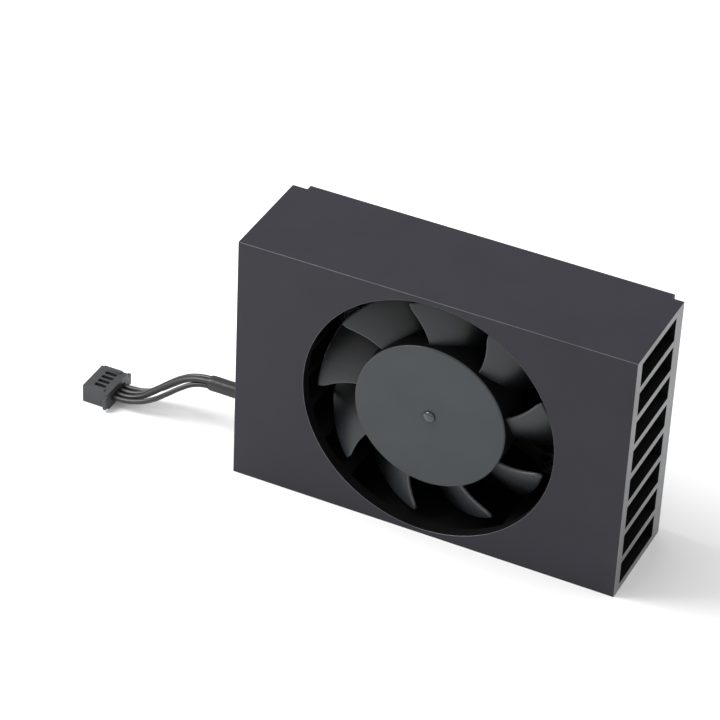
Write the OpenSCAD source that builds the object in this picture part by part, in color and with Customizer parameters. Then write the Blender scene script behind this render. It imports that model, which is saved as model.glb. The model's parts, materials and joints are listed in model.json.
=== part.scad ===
// Finned heatsink with a frameless fan set into it, for a compute module.
// It stands on a long side: fins along X, fan face towards -Y, contact face towards +Y.

/* [Heatsink] */
// Length along the fins
body_l = 70; // [66:0.5:90]
// Width across the fins
body_w = 46.8; // [46.4:0.2:60]
// Thickness from the fan face to the contact face
body_t = 20.8; // [17.2:0.1:28]
// Thickness of the walls between the channels
fin_w = 1.25; // [0.9:0.05:1.5]
// Thickness of the plate around the fan
face_t = 2.1; // [1.5:0.1:2.6]
// Thickness of the base at the end ledges
base_t = 3.1; // [2.8:0.1:4]
// Step from the end ledges up to the contact face
step_t = 1.2; // [0.6:0.1:1.6]
// Width of the ledge at the lead end
lead_ledge = 2.7; // [1:0.1:4]
// Width of the ledge at the far end
far_ledge = 2.1; // [1:0.1:4]

/* [Module side] */
// Screw spacing along the fins
screw_span_x = 52.6; // [48:0.1:56]
// Screw spacing across the fins
screw_span_z = 35; // [30:0.1:36]
// Shift of the screw pattern towards the far end
pattern_x = 0.5; // [-1:0.1:1]
// Shift of the screw pattern upwards
pattern_z = 0.5; // [-1:0.1:1]
// Diameter of the threaded holes
screw_hole_d = 2.5; // [2:0.1:3]
// Depth of the threaded holes
screw_hole_t = 3.8; // [2:0.1:4]
// Diameter of the countersinks
countersink_d = 3.6; // [3:0.1:4.4]
// Lower edge of the component pockets
pocket_low = 26.1; // [24:0.1:28]
// Upper edge of the component pockets
pocket_high = 38.3; // [34:0.1:40]
// Inner end of the lead-end pocket, from the lead end
lead_pocket_l = 13.4; // [8:0.1:16]
// Inner end of the far pocket, from the far end
far_pocket_l = 11.8; // [8:0.1:14]
// Radius of the pockets' inner corners
pocket_r = 1.5; // [0.5:0.1:2.5]
// Radius of the corners where the pockets meet the ledges
mouth_r = 1.2; // [0.5:0.1:2]
// Side of one square of thermal compound
pad_side = 2.1; // [1:0.05:2.3]
// Pitch of the squares
pad_pitch = 2.42; // [2.35:0.01:2.6]
// Thickness of the thermal compound
pad_t = 0.1; // [0.05:0.05:0.3]

/* [Fan] */
// Thinnest wall between the fan opening and a long side
rim_w = 0.9; // [0.6:0.1:1.5]
// Depth of the fan cavity
cavity_t = 11.8; // [11.7:0.1:13]
// Gap between the blade tips and the opening
tip_gap = 1.6; // [0.5:0.1:2.5]
// Radius of the hub
hub_r = 13.5; // [13.2:0.1:16.2]
// Depth of the hub's face below the fan face
hub_drop = 0.9; // [0.6:0.1:1]
// Number of blades
blade_count = 9; // [7:1:11]
// Thickness of a blade
blade_t = 0.8; // [0.5:0.1:1.1]
// Angle that a blade covers round the axis
blade_wrap = 33; // [26:1:36]
// Angle that the blade tips lead the roots by
blade_sweep = 11; // [0:1:16]
// Depth of the blades' front edges
blade_front = 1.8; // [1.4:0.1:2.4]
// Depth of the blades' rear edges
blade_rear = 8.5; // [7:0.1:8.7]

/* [Motor] */
// Diameter of the shaft
shaft_d = 2; // [1.5:0.1:2.4]
// Outer diameter of the ball bearings
bearing_od = 5; // [4.8:0.1:6]
// Width of the ball bearings
bearing_w = 2.5; // [2:0.1:2.5]
// Wall of the bearing tube
tube_wall = 0.45; // [0.3:0.05:0.6]
// Wall of the hub
hub_wall = 1.2; // [0.8:0.1:1.4]
// Wall of the steel rotor yoke
yoke_wall = 0.5; // [0.4:0.1:0.7]
// Radial thickness of the magnet ring
magnet_wall = 1.3; // [1:0.1:1.6]
// Air gap between magnet and stator
air_gap = 0.45; // [0.3:0.05:0.6]
// Thickness of the laminated stator core
core_t = 2.4; // [1.8:0.1:2.6]
// Thickness of the motor board
board_t = 0.8; // [0.6:0.1:0.8]
// Thickness of the bracket's disc and arms
bracket_t = 1.2; // [0.8:0.1:1.2]
// Width of the bracket's arms
arm_w = 2.6; // [2:0.1:3.4]

/* [Lead] */
// Outer diameter of a wire
wire_d = 0.92; // [0.8:0.02:0.94]
// Length of the plug
plug_l = 5.2; // [4.6:0.1:7]
// Width of the plug's body
plug_w = 6.8; // [6.2:0.1:8]
// Height of the plug
plug_h = 3.4; // [3:0.1:4]
// Pitch of the plug's contacts
plug_pitch = 1.25; // [1.1:0.05:1.4]
// Thickness of the finger plate across the plug's wire side
ear_t = 0.6; // [0.5:0.1:1.2]
// How far the finger plate sticks out past each side of the plug
ear_out = 1.2; // [0.6:0.1:1.4]

/* [Hidden] */
$fn = 64;
// Overshoot of cutting shapes, so that no cut ends on a face
cut = 1;
// Gap between parts of one assembly that don't touch
clear = 0.1;
// Gap between a wire's end and its contact
seat = 0.01;

// Places along Y: the origin is under the middle of the whole thickness
front_y = -(body_t + pad_t) / 2;
// The air channels, and the fan's axis in the middle of them
channel_count = 8;
channel_pitch = (body_w - fin_w) / channel_count;
channel_open = channel_pitch - fin_w;
floor_t = body_t - step_t - base_t;
fan_z = body_w / 2;
opening_r = fan_z - rim_w;
tip_r = opening_r - tip_gap;

// Radii of the motor, from the hub inwards
yoke_r = hub_r - hub_wall;
magnet_r = yoke_r - yoke_wall;
magnet_inner_r = magnet_r - magnet_wall;
stator_r = magnet_inner_r - air_gap;
tube_r = bearing_od / 2 + tube_wall;
shaft_r = shaft_d / 2;
bush_r = 2;
board_r = magnet_r - 0.5;
disc_r = yoke_r - clear;

// Depths of the motor below the fan face, from front to back
face_back = hub_drop + 1;
yoke_back = face_back + yoke_wall;
bush_back = face_back + 1;
front_bearing = 4.1;
shoulder = front_bearing + bearing_w;
rear_bearing = 7.7;
stator_mid = 5.4;
insulator_t = 0.5;
coil_build = 0.7;
magnet_back = 7;
yoke_skirt = 7.7;
hub_skirt = 8.2;
board_top = 8;
board_back = board_top + board_t;
bracket_top = 9.6;
bracket_back = bracket_top + bracket_t;
clip_depth = rear_bearing + bearing_w + 0.05;
clip_t = 0.3;
shaft_back = 10.9;
cap_t = 0.6;
// Angle of one blade's root, clockwise from +X as seen from the fan face
first_blade = -135.5;

// Legs of the bracket stand in the second channel on each side of the middle
leg_gap = 0.12;
leg_r = channel_open / 2 - leg_gap;
leg_z = 1.5 * channel_pitch;
leg_x = 18;
arm_angle = atan2(leg_z, leg_x);
leg_reach = norm([leg_x, leg_z]);
fix_d = 2;
fix_head_r = 1.7;
fix_head_t = 1.2;
fix_depth = floor_t + 2.6;

// Balls of the bearings run between two plain races
ball_pitch_r = (bearing_od / 2 + shaft_r) / 2;
ball_r = 0.38;
ball_gap = 0.03;
ball_count = 7;

// Pins that carry the windings' ends through the motor board
pin_angles = [45, 135, 315];
pin_reach = 6.1;
pin_r = 0.25;
core_front = stator_mid - core_t / 2;
core_back = stator_mid + core_t / 2;

// Four stator teeth with a coil on each
tooth_count = 4;
tooth_w = 3.2;
shoe_t = 1.3;
coil_in = 5.2;
coil_side = 1.2;
slot_paper = 0.2;
coil_half = tooth_w / 2 + slot_paper + coil_side;
flange_r = stator_r - shoe_t - 0.35;
coil_out = sqrt(flange_r * flange_r - coil_half * coil_half) - clear / 2;

// Middle of the lead from the motor board to the plug, as x, depth below the fan face and z
lead_route = [
    [-6.4, 9.3, 15.6], [-8, 9.5, 13.8], [-10, 9.9, 12], [-12.5, 10.2, 10.4], [-15.5, 10.4, 9.2],
    [-18.5, 10.45, 8.6], [-21.5, 10.45, 8.4], [-25, 10.45, 8.4], [-29, 10.45, 8.4],
    [-33, 10.45, 8.4], [-37, 10.45, 8.4], [-41, 10.45, 8.4], [-45, 10.45, 8.4],
    [-48, 10.4, 7.9], [-50.5, 10.2, 6.7], [-52.8, 9.7, 5.1], [-55, 9.2, 3.5],
    [-57.3, 8.75, 2.3], [-59.8, 8.5, 1.7], [-62.8, 8.5, 1.7]];
// The four wires lie side by side at the board and the plug, and two by two in the sleeve
bundle_half = wire_d / 2 + 0.02;
bundle_side = [[1, -1], [-1, -1], [-1, 1], [1, 1]];
board_row = [-1.5, -0.5, 0.5, 1.5];
board_pitch = wire_d + 0.08;
plug_row = [1.5, -1.5, -0.5, 0.5];
wire_exit_angle = 131;
wire_gate = 4 * board_pitch + 1.2;
sleeve_start = -21.5;
sleeve_end = -45;
sleeve_wall = 0.22;
sleeve_r = bundle_half * sqrt(2) + wire_d / 2 + 0.02 + sleeve_wall;
plug_x = -62;
lead_tip = lead_route[len(lead_route) - 1];
plug_y = front_y + lead_tip[1];
cavity_w = wire_d + 0.08;
contact_w = cavity_w - 0.2;

function smooth(t) = t <= 0 ? 0 : t >= 1 ? 1 : t * t * (3 - 2 * t);
function unit(v) = v / norm(v);

// Direction of a path at point i
function heading(path, i) = unit(path[min(i + 1, len(path) - 1)] - path[max(i - 1, 0)]);

// Place of wire k across the lead where the lead's middle is at x: along Y, and square to Y
function wire_place(k, x) =
    let (side = bundle_half * bundle_side[k],
        lift = smooth((-7 - x) / 5), gather = smooth((-12 - x) / 7),
        spread = smooth((-46 - x) / 7), flatten = smooth((-53 - x) / 7))
    x > sleeve_start
    ? [side[0] * lift, board_row[k] * board_pitch * (1 - gather) + side[1] * gather]
    : [side[0] * (1 - spread) + plug_row[k] * plug_pitch * spread, side[1] * (1 - flatten)];

function wire_path(k) =
    let (middle = [for (p = lead_route) [p[0], front_y + p[1], p[2]]])
    [for (i = [0:len(middle) - 1])
        let (place = wire_place(k, middle[i][0]), along = heading(middle, i),
            up = unit(cross([0, 1, 0], along)), across = cross(along, up))
        middle[i] + place[0] * across + place[1] * up];

// Closed solid through rings of points that all have the same count
module skin(rings) {
    n = len(rings[0]);
    last = len(rings) - 1;
    sides = [for (i = [0:last - 1], j = [0:n - 1])
        let (k = (j + 1) % n) [i * n + j, (i + 1) * n + j, (i + 1) * n + k, i * n + k]];
    polyhedron([for (r = rings, p = r) p],
        concat(sides, [[for (j = [0:n - 1]) j]], [[for (j = [n - 1:-1:0]) last * n + j]]));
}

// Round tube swept along a path that never runs along the reference direction
module sweep(path, d, sides = 8, ref = [0, 1, 0]) {
    last = len(path) - 1;
    skin([for (i = [0:last])
        let (t = heading(path, i), u = unit(cross(ref, t)), v = cross(t, u))
        [for (j = [0:sides - 1]) path[i] + d / 2 * (cos(360 * j / sides) * u + sin(360 * j / sides) * v)]]);
}

// Moves shapes drawn round Z, with Z as depth below the fan face, on to the fan's axis
module on_fan_axis() translate([0, front_y, fan_z]) rotate([-90, 0, 0]) children();

// Ring between two depths
module ring(outer, inner, from, to) translate([0, 0, from]) difference() {
    cylinder(r = outer, h = to - from);
    translate([0, 0, -cut]) cylinder(r = inner, h = to - from + 2 * cut);
}

// Rectangle with round corners, centred
module round_rect(w, h, r) {
    square([w - 2 * r, h], center = true);
    square([w, h - 2 * r], center = true);
    for (x = [-1, 1], y = [-1, 1]) translate([x * (w / 2 - r), y * (h / 2 - r)]) circle(r = r);
}

// Puts children at the four module screws, drawn round Z, with Z pointing out of the contact face
module at_module_screws() for (x = [-1, 1], z = [-1, 1])
    translate([pattern_x + x * screw_span_x / 2, front_y + body_t, fan_z + pattern_z + z * screw_span_z / 2])
        rotate([-90, 0, 0]) children();

// Outline of one component pocket, drawn with the ledge's edge on x = 0 and its inner end at x = depth
module pocket_outline(depth) {
    height = pocket_high - pocket_low;
    translate([depth / 2 - pocket_r, (pocket_low + pocket_high) / 2])
        round_rect(depth + 2 * pocket_r, height, pocket_r);
    for (side = [-1, 1]) translate([0, side < 0 ? pocket_low : pocket_high]) difference() {
        translate([-cut, side < 0 ? -mouth_r : -cut]) square([mouth_r + cut, mouth_r + cut]);
        translate([mouth_r, side * mouth_r]) circle(r = mouth_r);
    }
}

// Outline of the raised contact face
module contact_outline() difference() {
    translate([-body_l / 2 + lead_ledge, 0]) square([body_l - lead_ledge - far_ledge, body_w]);
    translate([-body_l / 2 + lead_ledge, 0]) pocket_outline(lead_pocket_l - lead_ledge);
    translate([body_l / 2 - far_ledge, 0]) mirror([1, 0]) pocket_outline(far_pocket_l - far_ledge);
}

module heatsink() color("dimgray") difference() {
    union() {
        translate([-body_l / 2, front_y, 0]) cube([body_l, body_t - step_t, body_w]);
        translate([0, front_y + body_t, 0]) rotate([90, 0, 0])
            linear_extrude(step_t + base_t / 2) contact_outline();
    }
    for (i = [0:channel_count - 1])
        translate([-body_l / 2 - cut, front_y + face_t, fin_w + i * channel_pitch])
            cube([body_l + 2 * cut, floor_t - face_t, channel_open]);
    on_fan_axis() {
        translate([0, 0, -cut]) cylinder(r = opening_r, h = cavity_t + cut, $fn = 128);
        for (x = [-1, 1], y = [-1, 1]) translate([x * leg_x, y * leg_z, 0])
            cylinder(d = fix_d, h = fix_depth + clear);
    }
    at_module_screws() {
        translate([0, 0, -screw_hole_t]) cylinder(d = screw_hole_d, h = screw_hole_t + cut);
        translate([0, 0, -(countersink_d - screw_hole_d) / 2])
            cylinder(d1 = screw_hole_d, d2 = countersink_d + 2 * cut,
                h = (countersink_d - screw_hole_d) / 2 + cut);
    }
}

module thermal_print() color("whitesmoke")
    for (i = [-5:5], j = [-3.5:3.5])
        translate([pattern_x + i * pad_pitch - pad_side / 2, front_y + body_t,
            fan_z + pattern_z + j * pad_pitch - pad_side / 2])
            cube([pad_side, pad_t, pad_side]);

module fan_bracket() color("#1d1d1f") on_fan_axis() difference() {
    union() {
        translate([0, 0, bracket_top]) {
            cylinder(r = disc_r, h = bracket_t);
            for (a = [arm_angle, 180 - arm_angle, 180 + arm_angle, -arm_angle]) rotate([0, 0, a])
                translate([disc_r - 1, -arm_w / 2, 0]) cube([leg_reach - disc_r + 1, arm_w, bracket_t]);
        }
        for (x = [-1, 1], y = [-1, 1]) translate([x * leg_x, y * leg_z, bracket_top])
            cylinder(r = leg_r, h = floor_t - bracket_top);
    }
    translate([0, 0, bracket_top - cut]) cylinder(r = tube_r, h = bracket_t + 2 * cut);
    for (x = [-1, 1], y = [-1, 1]) translate([x * leg_x, y * leg_z, 0]) {
        cylinder(d = fix_d + clear, h = floor_t + cut);
        cylinder(r = fix_head_r + clear / 2, h = bracket_top + fix_head_t + clear);
    }
    // Way out for the four wires
    rotate([0, 0, wire_exit_angle]) translate([6.5, -wire_gate / 2, bracket_top - cut])
        cube([disc_r, wire_gate, bracket_t + 2 * cut]);
}

module bracket_screws() color("silver") on_fan_axis()
    for (x = [-1, 1], y = [-1, 1]) translate([x * leg_x, y * leg_z, bracket_top + clear]) difference() {
        union() {
            cylinder(r = fix_head_r, h = fix_head_t);
            cylinder(d = fix_d, h = fix_depth - bracket_top - clear);
        }
        for (a = [0, 90]) rotate([0, 0, a]) translate([-1, -0.2, -cut]) cube([2, 0.4, cut + 0.6]);
    }

module bearing_tube() color("goldenrod") on_fan_axis() {
    ring(tube_r, bearing_od / 2, front_bearing - clear, shoulder);
    ring(tube_r, bearing_od / 2 - 0.4, shoulder, rear_bearing);
    ring(tube_r, bearing_od / 2, rear_bearing, bracket_back);
}

module bearing_cap() color("#2a2a2c") on_fan_axis() difference() {
    translate([0, 0, bracket_back]) cylinder(r = tube_r + 1, h = cap_t);
    translate([0, 0, bracket_back - cut]) cylinder(r = shaft_r + 0.5, h = cap_t - 0.2 + cut);
}

module outer_race(from) on_fan_axis()
    ring(bearing_od / 2, ball_pitch_r + ball_r + ball_gap, from, from + bearing_w);

module inner_race(from) on_fan_axis()
    ring(ball_pitch_r - ball_r - ball_gap, shaft_r, from, from + bearing_w);

module ball_set(from) on_fan_axis()
    for (i = [0:ball_count - 1]) rotate([0, 0, 360 * i / ball_count])
        translate([ball_pitch_r, 0, from + bearing_w / 2]) sphere(r = ball_r, $fn = 24);

module front_outer_race() color("lightgray") outer_race(front_bearing);
module rear_outer_race() color("lightgray") outer_race(rear_bearing);
module front_inner_race() color("gainsboro") inner_race(front_bearing);
module rear_inner_race() color("gainsboro") inner_race(rear_bearing);
module front_balls() color("white") ball_set(front_bearing);
module rear_balls() color("white") ball_set(rear_bearing);

module preload_spring() color("silver") on_fan_axis() {
    wire = 0.2;
    turns = 3;
    steps = 14;
    rise = front_bearing - bush_back - wire;
    sweep([for (i = [0:turns * steps])
        let (a = 360 * i / steps, r = shaft_r + wire)
        [r * cos(a), r * sin(a), bush_back + wire / 2 + rise * i / turns / steps]],
        wire, 6, [0, 0, 1]);
}

module retaining_clip() color("darkgray") on_fan_axis() difference() {
    ring(shaft_r + 0.6, shaft_r - 0.2, clip_depth, clip_depth + clip_t);
    translate([0, -0.3, clip_depth - cut]) cube([shaft_r + cut, 0.6, clip_t + 2 * cut]);
}

module shaft() color("silver") on_fan_axis() difference() {
    translate([0, 0, face_back]) cylinder(r = shaft_r, h = shaft_back - face_back);
    ring(shaft_r + cut, shaft_r - 0.2, clip_depth, clip_depth + clip_t);
}

module shaft_bush() color("goldenrod") on_fan_axis() ring(bush_r, shaft_r, face_back, bush_back);

// Section of a blade at radius r: a thin, bent strip, thicker in the middle
function blade_section(r) =
    let (steps = 4, share = (r - hub_r) / (tip_r - hub_r),
        lead = -blade_sweep * share, rise = blade_rear - blade_front - blade_t,
        mid = [for (i = [0:steps]) let (s = i / steps)
            [lead + blade_wrap * s, blade_front + blade_t / 2 + rise * (0.7 * s + 0.3 * s * s)]],
        half = [for (i = [0:steps]) blade_t / 2 * (0.6 + 0.4 * sin(180 * i / steps))],
        slope = [for (i = [0:steps]) atan2(rise * (0.7 + 0.6 * i / steps), r * blade_wrap * PI / 180)],
        edge = function (i, side)
            let (a = mid[i][0] - side * half[i] * sin(slope[i]) / r * 180 / PI,
                z = mid[i][1] + side * half[i] * cos(slope[i]))
            [r * cos(a), r * sin(a), z])
    concat([for (i = [0:steps]) edge(i, -1)], [for (i = [steps:-1:0]) edge(i, 1)]);

// Blade whose root is buried in the hub's wall and whose tip follows the tip circle
module blade() {
    root_r = hub_r - 0.5;
    steps = 3;
    skin([for (i = [0:steps]) blade_section(root_r + (tip_r - root_r) * i / steps)]);
}

// Wall of the hub cup from its middle to its rear edge, with a round front edge
function hub_profile() =
    let (edge_r = 0.5)
    concat([[0, hub_drop]],
        [for (a = [0:15:90]) [hub_r - edge_r + edge_r * sin(a), hub_drop + edge_r - edge_r * cos(a)]],
        [[hub_r, hub_skirt], [yoke_r, hub_skirt], [yoke_r, face_back], [0, face_back]]);

module impeller() color("#26282b") on_fan_axis() {
    rotate_extrude($fn = 96) polygon(hub_profile());
    translate([0, 0, hub_drop - 0.15]) cylinder(r = 0.5, h = 0.5);
    for (i = [0:blade_count - 1]) rotate([0, 0, first_blade + 360 * i / blade_count]) blade();
}

module rotor_yoke() color("#8d9196") on_fan_axis() {
    ring(yoke_r, bush_r, face_back, yoke_back);
    ring(yoke_r, magnet_r, yoke_back, yoke_skirt);
}

module magnet_ring() color("#3b3b3d") on_fan_axis() ring(magnet_r, magnet_inner_r, yoke_back, magnet_back);

// Outline of the stator: ring, teeth and, where asked for, the pole shoes
module stator_outline(tooth, shoe_outer, shoe_inner, shoe_half) difference() {
    union() {
        circle(r = coil_in - 0.2);
        for (i = [0:tooth_count - 1]) rotate(360 * i / tooth_count) {
            translate([0, -tooth / 2]) square([shoe_inner + 0.2, tooth]);
            intersection() {
                difference() {
                    circle(r = shoe_outer);
                    circle(r = shoe_inner);
                }
                polygon([[0, 0], [20, -20 * tan(shoe_half)], [20, 20 * tan(shoe_half)]]);
            }
        }
    }
    circle(r = tube_r);
}

module stator_core() color("#9a9ca0") on_fan_axis() translate([0, 0, core_front])
    linear_extrude(core_t) stator_outline(tooth_w, stator_r, stator_r - shoe_t, 38);

// Moulded insulator that lies on the core, drawn upwards from the core's face
module insulator() {
    linear_extrude(insulator_t) {
        stator_outline(tooth_w + 2 * slot_paper, flange_r + 0.9, flange_r, 24);
        for (a = pin_angles) rotate(a) difference() {
            translate([coil_in - 1, -0.8]) square([2.4, 1.6]);
            translate([pin_reach, 0]) circle(r = pin_r);
        }
    }
    // Upright flange that keeps the coil off the pole shoe
    linear_extrude(insulator_t + coil_build) intersection() {
        stator_outline(tooth_w, flange_r + 0.3, flange_r, 20);
        difference() {
            circle(r = stator_r);
            circle(r = flange_r);
        }
    }
}

module front_insulator() color("#d8d4c8") on_fan_axis()
    translate([0, 0, core_front]) mirror([0, 0, 1]) insulator();

module rear_insulator() color("#d8d4c8") on_fan_axis()
    translate([0, 0, core_back]) insulator();

module coil_windings() color("#b8642c") on_fan_axis() {
    inner = [core_t + 2 * insulator_t, tooth_w + 2 * slot_paper];
    for (i = [0:tooth_count - 1]) rotate([0, 0, 360 * i / tooth_count])
        translate([coil_in, 0, stator_mid]) rotate([0, 90, 0])
            linear_extrude(coil_out - coil_in) difference() {
                round_rect(inner[0] + 2 * coil_build, 2 * coil_half, 0.6);
                square(inner, center = true);
            }
}

module winding_pins() color("gainsboro") on_fan_axis() for (a = pin_angles) rotate([0, 0, a])
    translate([pin_reach, 0, core_back]) cylinder(r = pin_r, h = board_back + 0.5 - core_back);

module motor_board() color("#1f5a3a") on_fan_axis() difference() {
    ring(board_r, tube_r, board_top, board_back);
    for (a = pin_angles) rotate([0, 0, a]) translate([pin_reach, 0, board_top - cut])
        cylinder(r = pin_r, h = board_t + 2 * cut);
}

module position_sensor() color("#18181a") on_fan_axis() rotate([0, 0, 45])
    translate([board_r - 2.6, -1.4, board_top - 0.7]) cube([1.6, 2.8, 0.7]);

module drive_chip() color("#18181a") on_fan_axis() rotate([0, 0, -20])
    translate([4.6, -1.8, board_back]) cube([3.6, 3.6, 0.6]);

module board_capacitors() color("#9c7a52") on_fan_axis()
    for (a = [60, 84, 190, 214]) rotate([0, 0, a])
        translate([7.2, -0.6, board_back]) cube([1.9, 1.2, 0.5]);

// Solder where each wire meets the board
module solder_joints() color("silver") for (k = [0:3]) {
    p = wire_path(k)[0];
    out = unit(wire_path(k)[1] - p);
    translate([p[0], front_y + board_back, p[2]]) rotate([0, -atan2(out[2], out[0]), 0])
        translate([-1.3, 0, -wire_d / 2]) cube([1.3, wire_d, wire_d]);
}

module wire(k) sweep(wire_path(k), wire_d);

module ground_wire() color("#151517") wire(0);
module supply_wire() color("#151517") wire(1);
module speed_wire() color("#151517") wire(2);
module control_wire() color("#151517") wire(3);

module lead_sleeve() color("#101011")
    translate([sleeve_start, front_y + lead_route[8][1], lead_route[8][2]]) rotate([0, -90, 0])
        ring(sleeve_r, sleeve_r - sleeve_wall, 0, sleeve_start - sleeve_end);

// Moves shapes drawn from the plug's rear, with X running forwards, to the end of the lead
module at_plug() translate([plug_x, plug_y, 0]) rotate([0, 0, 180]) children();

module plug_housing() color("#1a1a1c") at_plug() {
    wire_z = lead_tip[2];
    difference() {
        union() {
            translate([0, -plug_w / 2, 0]) cube([plug_l, plug_w, plug_h]);
            translate([0, -plug_w / 2 - ear_out, 0.5]) cube([ear_t, plug_w + 2 * ear_out, plug_h - 1.3]);
            for (y = [-1, 1]) translate([1, y * (plug_w / 2 - 0.4) - 0.4, plug_h - cut])
                cube([plug_l - 1.6, 0.8, cut + 0.2]);
        }
        for (k = [0:3]) translate([0, plug_row[k] * plug_pitch, wire_z]) {
            translate([-cut, -cavity_w / 2, -cavity_w / 2]) cube([plug_l - 0.6 + cut, cavity_w, cavity_w]);
            translate([plug_l - 2, -0.3, -0.3]) cube([2 + cut, 0.6, 0.6]);
            translate([1.4, -0.4, 0]) cube([2.2, 0.8, plug_h]);
        }
    }
}

module plug_contacts() color("silver") at_plug() {
    start = plug_x - lead_tip[0] + seat;
    for (k = [0:3]) translate([start, plug_row[k] * plug_pitch, lead_tip[2]])
        difference() {
            translate([0, -contact_w / 2, -contact_w / 2]) cube([plug_l - 0.8 - start, contact_w, contact_w]);
            translate([2, -0.25, -0.25]) cube([plug_l, 0.5, 0.5]);
        }
}

heatsink();
thermal_print();
fan_bracket();
bracket_screws();
bearing_tube();
bearing_cap();
front_outer_race();
rear_outer_race();
front_balls();
rear_balls();
front_inner_race();
rear_inner_race();
preload_spring();
retaining_clip();
shaft();
shaft_bush();
impeller();
rotor_yoke();
magnet_ring();
stator_core();
front_insulator();
rear_insulator();
coil_windings();
winding_pins();
motor_board();
position_sensor();
drive_chip();
board_capacitors();
solder_joints();
ground_wire();
supply_wire();
speed_wire();
control_wire();
lead_sleeve();
plug_housing();
plug_contacts();
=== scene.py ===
"""Looks of a finned cooler with a fan set into it and a short plug lead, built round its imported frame.

Lengths are in metres. +X runs along the fins, -Y points out of the fan face and +Z is up.
"""
import json
import math

import bmesh
import bpy
from mathutils import Matrix, Quaternion, Vector, noise


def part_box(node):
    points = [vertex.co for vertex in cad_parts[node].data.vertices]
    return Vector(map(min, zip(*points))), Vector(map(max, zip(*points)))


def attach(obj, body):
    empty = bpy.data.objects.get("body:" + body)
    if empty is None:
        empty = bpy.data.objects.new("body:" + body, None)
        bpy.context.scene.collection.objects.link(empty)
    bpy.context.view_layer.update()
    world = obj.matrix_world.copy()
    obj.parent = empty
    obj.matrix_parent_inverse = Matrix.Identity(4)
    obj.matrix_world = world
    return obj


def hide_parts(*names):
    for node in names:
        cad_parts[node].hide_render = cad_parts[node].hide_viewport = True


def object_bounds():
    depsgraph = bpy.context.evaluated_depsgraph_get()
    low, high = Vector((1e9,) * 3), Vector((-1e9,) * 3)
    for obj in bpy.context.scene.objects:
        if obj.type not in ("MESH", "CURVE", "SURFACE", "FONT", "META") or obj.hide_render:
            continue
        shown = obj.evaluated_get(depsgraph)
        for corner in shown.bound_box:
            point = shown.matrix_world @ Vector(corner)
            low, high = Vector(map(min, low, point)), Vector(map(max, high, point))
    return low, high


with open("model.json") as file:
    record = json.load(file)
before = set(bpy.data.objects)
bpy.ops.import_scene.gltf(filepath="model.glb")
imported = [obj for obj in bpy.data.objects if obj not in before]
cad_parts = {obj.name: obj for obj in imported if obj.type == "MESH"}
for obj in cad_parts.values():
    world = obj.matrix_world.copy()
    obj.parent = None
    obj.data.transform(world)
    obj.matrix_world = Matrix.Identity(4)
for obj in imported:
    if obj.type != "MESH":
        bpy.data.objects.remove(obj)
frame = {"nodes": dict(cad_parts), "record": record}
bpy.ops.object.select_all(action="DESELECT")
cad_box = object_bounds()

MM = 0.001

# Body of the heatsink, from its box, and the sizes of its cuts
LOW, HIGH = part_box("heatsink")
FRONT, BACK, WIDTH = LOW.y, HIGH.y, HIGH.z
FIN_T = 1.25 * MM
FACE_T = 2.1 * MM
BASE_T = 3.1 * MM
STEP_T = 1.2 * MM
CHANNELS = 8
PITCH = (WIDTH - FIN_T) / CHANNELS
FLOOR = BACK - STEP_T - BASE_T
LEAD_LEDGE, FAR_LEDGE = 2.7 * MM, 2.1 * MM
LEAD_POCKET, FAR_POCKET = 13.4 * MM, 11.8 * MM
POCKET_LOW, POCKET_HIGH = 26.1 * MM, 38.3 * MM
POCKET_R, MOUTH_R = 1.5 * MM, 1.2 * MM
BROKEN_EDGE = 0.18 * MM
OVER = MM           # how far a cutter reaches past what it cuts
NEAR = 0.3 * MM     # how close to a plane a face still counts as lying on it

# Screws of the module, from the record's own bolt pattern
SCREWS = next(m for m in frame["record"]["mounts"] if m["name"] == "module_screws")
SCREW_R = SCREWS["dims"]["hole_r_mm"] * MM
SCREW_SPAN = (SCREWS["dims"]["spacing_x_mm"] * MM, SCREWS["dims"]["spacing_y_mm"] * MM)
SCREW_MIDDLE = (SCREWS["pos_m"][0], SCREWS["pos_m"][2])
SCREW_DEPTH = 3.8 * MM
SINK_R = 1.8 * MM
THREAD_PITCH = 0.45 * MM

# Fan and motor, measured from the axis and from the fan face
FAN_Z = WIDTH / 2
OPENING_R = FAN_Z - 0.9 * MM
CAVITY_T = 11.8 * MM
YOKE_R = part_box("rotor_yoke")[1].x
HUB_R = YOKE_R + 1.2 * MM
HUB_FACE = 0.9 * MM
HUB_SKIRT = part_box("impeller")[1].y - FRONT
HUB_WALL_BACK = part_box("rotor_yoke")[0].y - FRONT
PIP_R, DIMPLE_R = 1.05 * MM, 1.7 * MM
TIP_R = OPENING_R - 1.6 * MM
BLADES = 9
BLADE_T = 0.8 * MM
BLADE_WRAP = math.radians(33)
BLADE_SWEEP = math.radians(11)
BLADE_FRONT, BLADE_REAR = 1.8 * MM, 8.5 * MM
FIRST_BLADE = math.radians(-135.5)
LEG_X, LEG_HOLE_END = 18 * MM, 19.2 * MM
IMPELLER_FINISHES = ["hub", "blade", "pip", "lip", "channel"]
SHAFT_R, BEARING_R = MM, 2.5 * MM
BALLS, BALL_R, BALL_GAP = 7, 0.38 * MM, 0.03 * MM
TRACK_R = (BEARING_R + SHAFT_R) / 2
ON_FAN_AXIS = Matrix.Translation((0, FRONT, FAN_Z)) @ Matrix.Rotation(math.radians(-90), 4, "X")

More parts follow.
